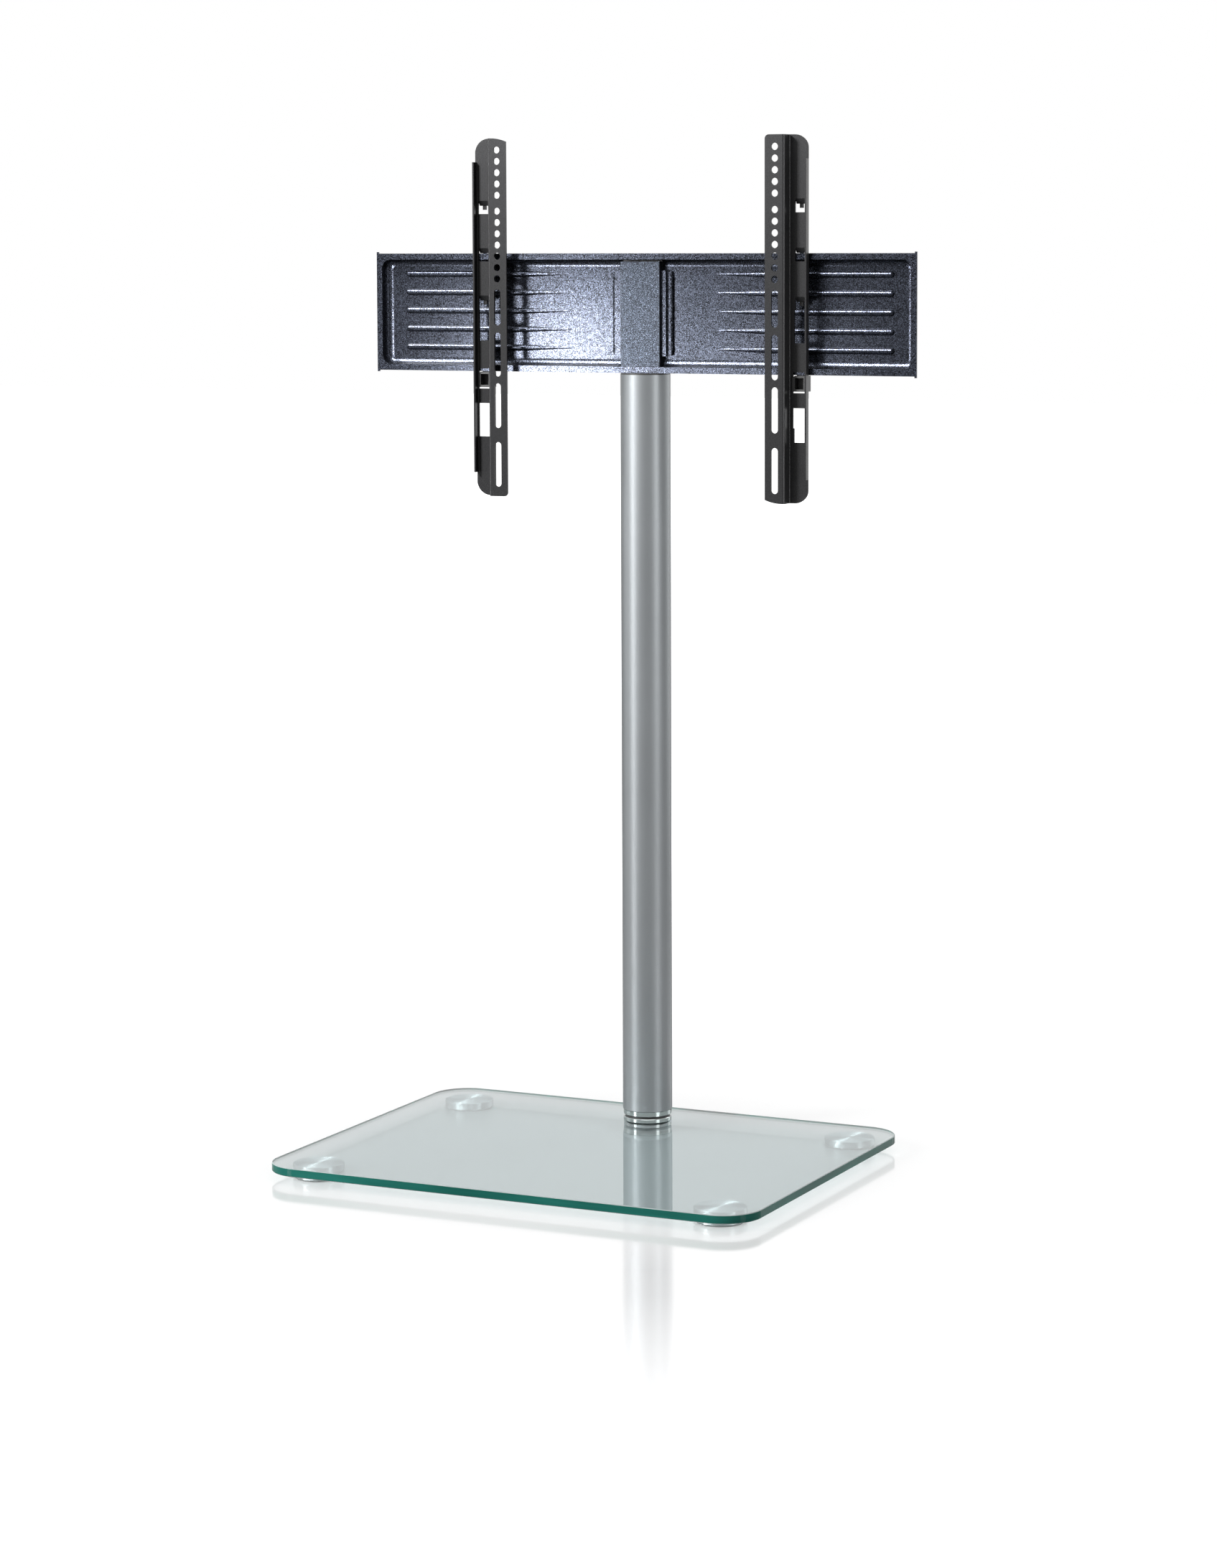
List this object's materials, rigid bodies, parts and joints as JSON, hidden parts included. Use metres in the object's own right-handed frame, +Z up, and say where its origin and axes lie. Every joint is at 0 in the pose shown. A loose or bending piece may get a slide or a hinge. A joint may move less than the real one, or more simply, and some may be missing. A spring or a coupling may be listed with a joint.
{
  "type": "swivel television stand",
  "caption": "Floor stand for a flat television: glass base on disc feet, round pole with a swivel, ribbed steel tray and two sliding hooked rails.",
  "frame": {"origin": "on the floor, under the middle of the glass plate", "axes": "+X to the viewer's right, -Y towards the viewer (the television's side), +Z up"},
  "size_m": [0.708, 0.484, 1.2073],
  "materials": {
    "glass": "clear tempered float glass, green in its edges",
    "spun_aluminium": "turned, with fine rings",
    "pad_rubber": "soft, matt",
    "gasket_plastic": "thin sheet",
    "polished_steel": "polished and plated",
    "bearing_plastic": "smooth",
    "plain_steel": "zinc plated",
    "satin_aluminium": "satin anodised",
    "cap_plastic": "matt",
    "black_steel": "black finish",
    "graphite_paint": "powder coat with fine sparkle",
    "rail_paint": "powder coat, satin",
    "catch_plastic": "moulded"
  },
  "bodies": {
    "base": {"glass_base": "glass", "foot_front_left": "spun_aluminium", "foot_front_right": "spun_aluminium", "foot_back_left": "spun_aluminium", "foot_back_right": "spun_aluminium", "pad_front_left": "pad_rubber", "pad_front_right": "pad_rubber", "pad_back_left": "pad_rubber", "pad_back_right": "pad_rubber", "gasket_upper": "gasket_plastic", "gasket_lower": "gasket_plastic", "clamp_disc": "plain_steel", "base_ring": "polished_steel", "swivel_washer": "bearing_plastic", "stop_pin": "plain_steel", "centre_bolt": "plain_steel", "spring_washers": "plain_steel", "lock_nut": "plain_steel"},
    "pole": {"pole_plug": "polished_steel", "pole": "satin_aluminium", "pole_cap": "cap_plastic", "spigot": "plain_steel", "pole_screws": "black_steel", "tray": "graphite_paint", "upright": "graphite_paint", "upright_flange": "graphite_paint"},
    "rail_left": {"rail_left": "rail_paint"},
    "rail_right": {"rail_right": "rail_paint"},
    "catch_left": {"catch_left": "catch_plastic"},
    "catch_right": {"catch_right": "catch_plastic"}
  },
  "joints": [
    {"name": "swivel", "type": "hinge", "parent": "base", "child": "pole", "pos_m": [0, 0.168, 0.028], "axis": [0, 0, 1], "range_deg": [-45, 45]},
    {"name": "rail_left_slide", "type": "slide", "parent": "pole", "child": "rail_left", "axis": [1, 0, 0], "range_m": [-0.1337, 0.1645]},
    {"name": "rail_right_slide", "type": "slide", "parent": "pole", "child": "rail_right", "axis": [1, 0, 0], "range_m": [-0.1685, 0.1297]},
    {"name": "catch_left_pull", "type": "slide", "parent": "rail_left", "child": "catch_left", "axis": [0, 0, 1], "range_m": [-0.007, 0]},
    {"name": "catch_right_pull", "type": "slide", "parent": "rail_right", "child": "catch_right", "axis": [0, 0, 1], "range_m": [-0.007, 0]}
  ]
}
